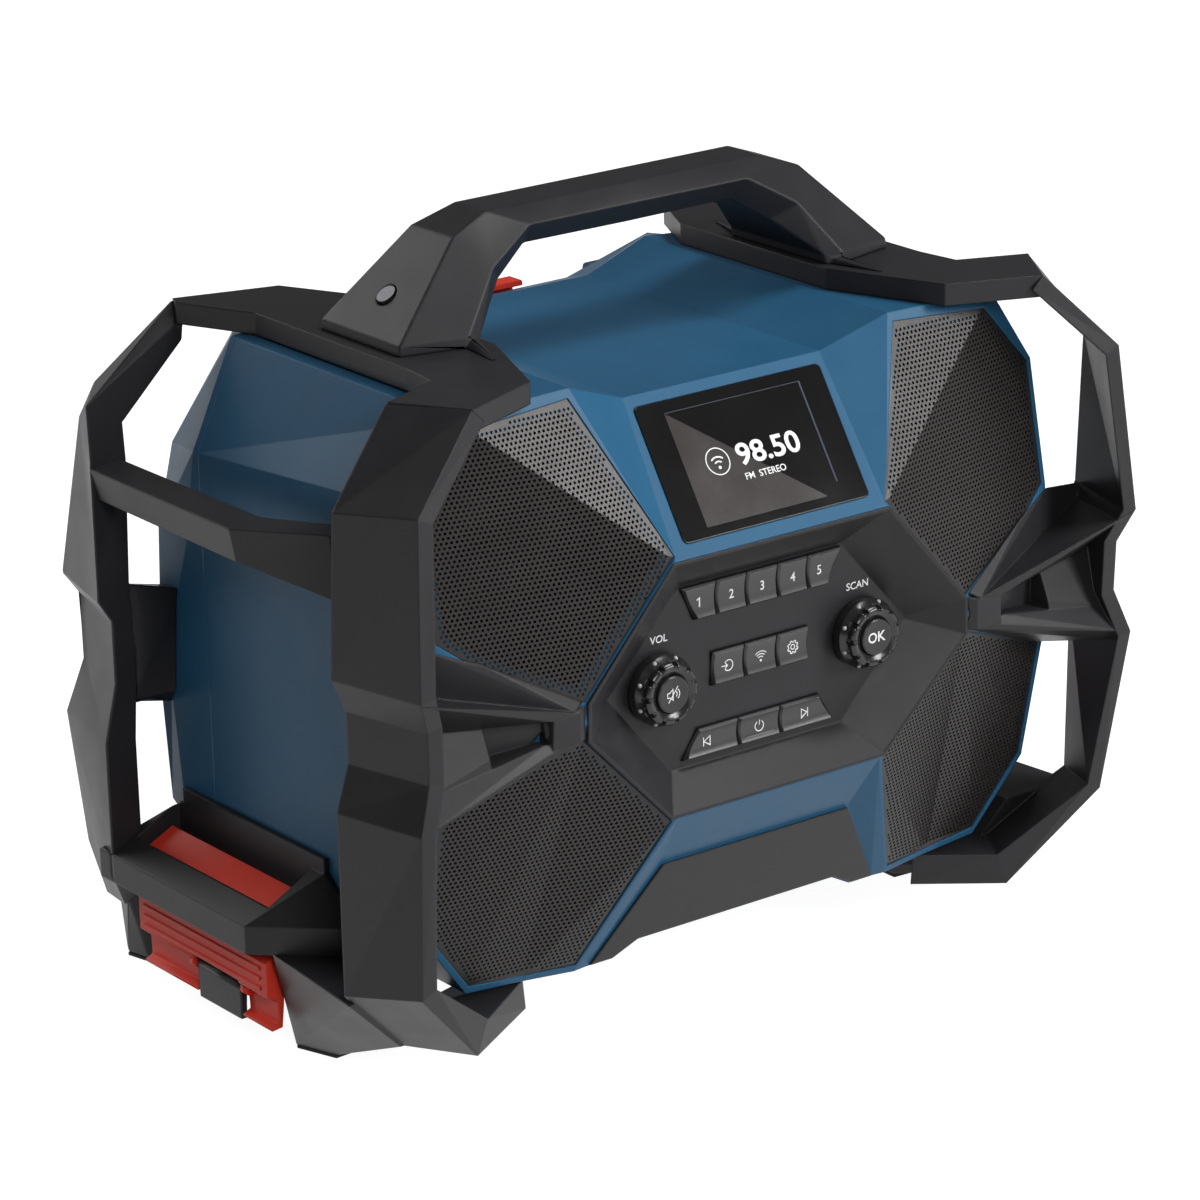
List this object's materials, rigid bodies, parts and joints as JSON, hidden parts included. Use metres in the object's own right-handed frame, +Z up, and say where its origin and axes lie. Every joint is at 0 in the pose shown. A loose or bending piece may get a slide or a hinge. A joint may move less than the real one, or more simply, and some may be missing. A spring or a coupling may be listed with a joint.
{
  "type": "jobsite radio",
  "caption": "Rugged tabletop radio: faceted blue body with round controls and mesh-covered speakers, held in a black roll cage with a carrying handle and side latches.",
  "frame": {"origin": "middle of the floor contact plane, under the centre of the bounding box", "axes": "+Z up, the front with the controls faces -Y, +X to the right of someone facing the front"},
  "size_m": [0.442, 0.3016, 0.386],
  "materials": {
    "blue_plastic": "fine grained",
    "black_plastic": "fine grained",
    "red_plastic": "satin",
    "black_mesh": "perforated, satin black",
    "display_glass": "polished, dark tinted",
    "display_black": "matte",
    "inner_plastic": "matte",
    "basket_steel": "satin black",
    "cone_black": "matte",
    "board_green": "satin",
    "rubber": "matte",
    "encoder_metal": "plain",
    "key_gloss": "gloss, white printed icons",
    "knob_black": "satin",
    "steel": "dark zinc plated",
    "antenna_black": "satin black"
  },
  "bodies": {
    "radio": {"front_housing": "blue_plastic", "rear_housing": "blue_plastic", "control_bezel": "black_plastic", "cage_front_left": "black_plastic", "cage_front_right": "black_plastic", "cage_rear_left": "black_plastic", "cage_rear_right": "black_plastic", "top_plate_left": "black_plastic", "top_plate_right": "black_plastic", "side_rail_left": "black_plastic", "side_rail_right": "black_plastic", "lower_rail_left": "black_plastic", "lower_rail_right": "black_plastic", "handle": "black_plastic", "bumper_panel": "black_plastic", "grille_upper_left": "black_mesh", "grille_upper_right": "black_mesh", "grille_lower_left": "black_mesh", "grille_lower_right": "black_mesh", "display_lens": "display_glass", "display_module": "display_black", "baffle": "inner_plastic", "battery_dock": "inner_plastic", "speaker_baskets": "basket_steel", "speaker_cones": "cone_black", "control_board": "board_green", "amplifier_board": "board_green", "keypad_membrane": "rubber", "feet": "rubber", "rotary_encoders": "encoder_metal", "latch_pins": "steel", "handle_bolts": "steel", "door_hinge_pin": "steel", "cage_screws": "steel"},
    "key_1": {"key_1": "key_gloss"},
    "key_2": {"key_2": "key_gloss"},
    "key_3": {"key_3": "key_gloss"},
    "key_4": {"key_4": "key_gloss"},
    "key_5": {"key_5": "key_gloss"},
    "key_source": {"key_source": "key_gloss"},
    "key_wireless": {"key_wireless": "key_gloss"},
    "key_settings": {"key_settings": "key_gloss"},
    "key_previous": {"key_previous": "key_gloss"},
    "key_power": {"key_power": "key_gloss"},
    "key_next": {"key_next": "key_gloss"},
    "volume_knob": {"volume_knob": "knob_black"},
    "mute_button": {"mute_button": "key_gloss"},
    "scan_knob": {"scan_knob": "knob_black"},
    "ok_button": {"ok_button": "key_gloss"},
    "latch_lever_left": {"latch_lever_left": "red_plastic"},
    "latch_lever_right": {"latch_lever_right": "red_plastic"},
    "latch_hook_left": {"latch_hook_left": "black_plastic"},
    "latch_hook_right": {"latch_hook_right": "black_plastic"},
    "rear_door": {"rear_door": "black_plastic"},
    "door_latch": {"door_latch": "red_plastic"},
    "battery_pack": {"battery_pack": "black_plastic"},
    "antenna": {"antenna": "antenna_black"}
  },
  "joints": [
    {"name": "key_1_press", "type": "slide", "parent": "radio", "child": "key_1", "axis": [0, 1, 0], "range_m": [0, 0.001], "stiffness_N_per_m": 400},
    {"name": "key_2_press", "type": "slide", "parent": "radio", "child": "key_2", "axis": [0, 1, 0], "range_m": [0, 0.001], "stiffness_N_per_m": 400},
    {"name": "key_3_press", "type": "slide", "parent": "radio", "child": "key_3", "axis": [0, 1, 0], "range_m": [0, 0.001], "stiffness_N_per_m": 400},
    {"name": "key_4_press", "type": "slide", "parent": "radio", "child": "key_4", "axis": [0, 1, 0], "range_m": [0, 0.001], "stiffness_N_per_m": 400},
    {"name": "key_5_press", "type": "slide", "parent": "radio", "child": "key_5", "axis": [0, 1, 0], "range_m": [0, 0.001], "stiffness_N_per_m": 400},
    {"name": "key_source_press", "type": "slide", "parent": "radio", "child": "key_source", "axis": [0, 1, 0], "range_m": [0, 0.001], "stiffness_N_per_m": 400},
    {"name": "key_wireless_press", "type": "slide", "parent": "radio", "child": "key_wireless", "axis": [0, 1, 0], "range_m": [0, 0.001], "stiffness_N_per_m": 400},
    {"name": "key_settings_press", "type": "slide", "parent": "radio", "child": "key_settings", "axis": [0, 1, 0], "range_m": [0, 0.001], "stiffness_N_per_m": 400},
    {"name": "key_previous_press", "type": "slide", "parent": "radio", "child": "key_previous", "axis": [0, 1, 0], "range_m": [0, 0.001], "stiffness_N_per_m": 400},
    {"name": "key_power_press", "type": "slide", "parent": "radio", "child": "key_power", "axis": [0, 1, 0], "range_m": [0, 0.001], "stiffness_N_per_m": 400},
    {"name": "key_next_press", "type": "slide", "parent": "radio", "child": "key_next", "axis": [0, 1, 0], "range_m": [0, 0.001], "stiffness_N_per_m": 400},
    {"name": "volume_knob_turn", "type": "hinge", "parent": "radio", "child": "volume_knob", "pos_m": [-0.0602, -0.13, 0.1779], "axis": [0, -1, 0], "continuous": true},
    {"name": "mute_button_press", "type": "slide", "parent": "volume_knob", "child": "mute_button", "axis": [0, 1, 0], "range_m": [0, 0.0012], "stiffness_N_per_m": 400},
    {"name": "scan_knob_turn", "type": "hinge", "parent": "radio", "child": "scan_knob", "pos_m": [0.0602, -0.13, 0.1779], "axis": [0, -1, 0], "continuous": true},
    {"name": "ok_button_press", "type": "slide", "parent": "scan_knob", "child": "ok_button", "axis": [0, 1, 0], "range_m": [0, 0.0012], "stiffness_N_per_m": 400},
    {"name": "latch_lever_left_swing", "type": "hinge", "parent": "radio", "child": "latch_lever_left", "pos_m": [-0.203, 0.037, 0.062], "axis": [0, 1, 0], "range_deg": [0, 12], "stiffness_Nm_per_rad": 0.6},
    {"name": "latch_hook_left_swing", "type": "hinge", "parent": "latch_lever_left", "child": "latch_hook_left", "pos_m": [-0.2065, 0.026, 0.028], "axis": [0, 1, 0], "range_deg": [0, 25]},
    {"name": "latch_lever_right_swing", "type": "hinge", "parent": "radio", "child": "latch_lever_right", "pos_m": [0.203, 0.037, 0.062], "axis": [0, -1, 0], "range_deg": [0, 12], "stiffness_Nm_per_rad": 0.6},
    {"name": "latch_hook_right_swing", "type": "hinge", "parent": "latch_lever_right", "child": "latch_hook_right", "pos_m": [0.2065, 0.026, 0.028], "axis": [0, -1, 0], "range_deg": [0, 25]},
    {"name": "rear_door_swing", "type": "hinge", "parent": "radio", "child": "rear_door", "pos_m": [0, 0.112, 0.141], "axis": [-1, 0, 0], "range_deg": [0, 90]},
    {"name": "door_latch_lift", "type": "hinge", "parent": "rear_door", "child": "door_latch", "pos_m": [0, 0.1152, 0.2885], "axis": [-1, 0, 0], "range_deg": [0, 40]},
    {"name": "battery_pack_slide", "type": "slide", "parent": "radio", "child": "battery_pack", "axis": [0, 1, 0], "range_m": [0, 0.06]},
    {"name": "antenna_fold", "type": "hinge", "parent": "radio", "child": "antenna", "pos_m": [0.089, 0.116, 0.3], "axis": [1, 0, 0], "range_deg": [0, 180]}
  ],
  "couplings": [
    {"joint": "latch_hook_left_swing", "follows": "latch_lever_left_swing", "ratio": 2},
    {"joint": "latch_hook_right_swing", "follows": "latch_lever_right_swing", "ratio": 2}
  ]
}
